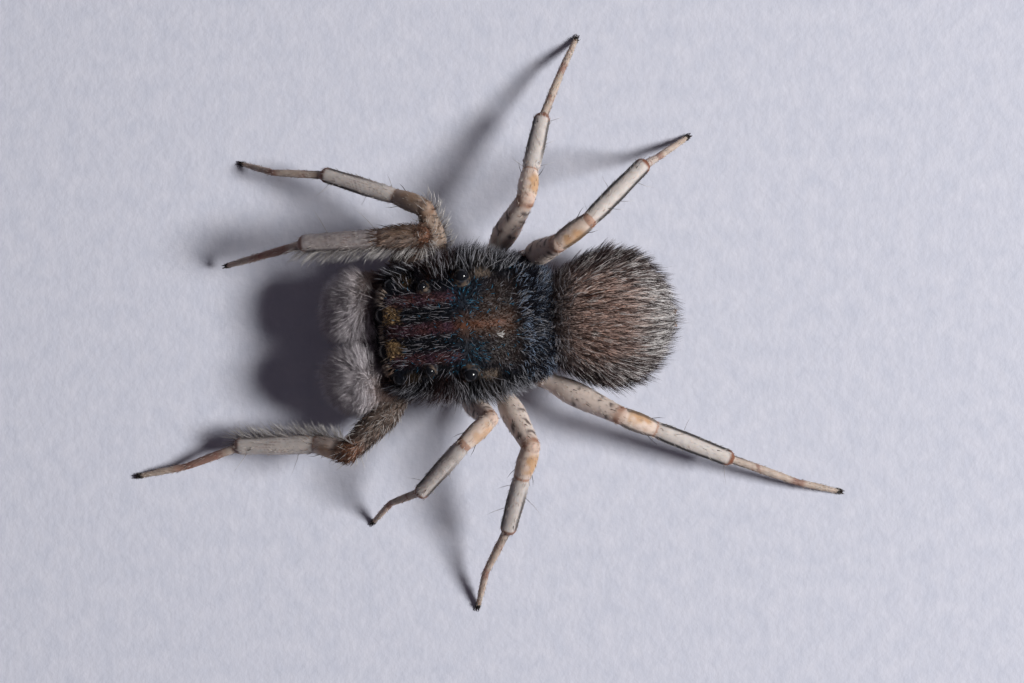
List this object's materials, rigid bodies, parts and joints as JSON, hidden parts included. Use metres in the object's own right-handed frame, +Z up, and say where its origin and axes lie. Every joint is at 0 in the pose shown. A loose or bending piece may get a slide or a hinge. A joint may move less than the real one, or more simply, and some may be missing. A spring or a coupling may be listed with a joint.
{
  "type": "jumping spider",
  "caption": "Life-size still model of a small pale-legged male jumping spider, standing with legs spread and its left rear leg stretched back.",
  "frame": {"origin": "point on the floor under the middle of the box round the whole animal, legs included", "axes": "+Z up from the floor, the face looks along -Y (turned 5.5 degrees to the spider's left), the spider's left side is +X"},
  "size_m": [0.0102, 0.0126, 0.0026],
  "materials": {
    "carapace": "dark brown scales and black and blue-grey hair",
    "abdomen": "grey-brown short hair with dark streaks",
    "leg": "pale translucent leg with black lines and tan joints",
    "front_leg": "brown hairy front leg",
    "palp": "long fluffy white hair over tan",
    "underside": "tan, thinly haired",
    "eye": "black and glossy",
    "claw": "black claws and fangs"
  },
  "bodies": {
    "root": {"carapace": "carapace", "eye_front_middle_left": "eye", "eye_front_side_left": "eye", "eye_rear_middle_left": "eye", "eye_rear_side_left": "eye", "eye_front_middle_right": "eye", "eye_front_side_right": "eye", "eye_rear_middle_right": "eye", "eye_rear_side_right": "eye", "chelicera_left": "carapace", "palp_left": "palp", "chelicera_right": "carapace", "palp_right": "palp", "sternum_and_hips": "underside", "left_leg1_femur": "front_leg", "left_leg1_patella": "front_leg", "left_leg1_tibia": "leg", "left_leg1_metatarsus": "leg", "left_leg1_tarsus": "leg", "left_leg2_femur": "leg", "left_leg2_patella": "leg", "left_leg2_tibia": "leg", "left_leg2_metatarsus": "leg", "left_leg2_tarsus": "leg", "left_leg3_femur": "leg", "left_leg3_patella": "leg", "left_leg3_tibia": "leg", "left_leg3_metatarsus": "leg", "left_leg3_tarsus": "leg", "left_leg4_femur": "leg", "left_leg4_patella": "leg", "left_leg4_tibia": "leg", "left_leg4_metatarsus": "leg", "left_leg4_tarsus": "leg", "right_leg1_femur": "front_leg", "right_leg1_patella": "front_leg", "right_leg1_tibia": "leg", "right_leg1_metatarsus": "leg", "right_leg1_tarsus": "leg", "right_leg2_femur": "leg", "right_leg2_patella": "leg", "right_leg2_tibia": "leg", "right_leg2_metatarsus": "leg", "right_leg2_tarsus": "leg", "right_leg3_femur": "leg", "right_leg3_patella": "leg", "right_leg3_tibia": "leg", "right_leg3_metatarsus": "leg", "right_leg3_tarsus": "leg", "right_leg4_femur": "leg", "right_leg4_patella": "leg", "right_leg4_tibia": "leg", "right_leg4_metatarsus": "leg", "right_leg4_tarsus": "leg", "pedicel": "underside", "abdomen": "abdomen", "spinnerets": "underside"}
  },
  "joints": []
}
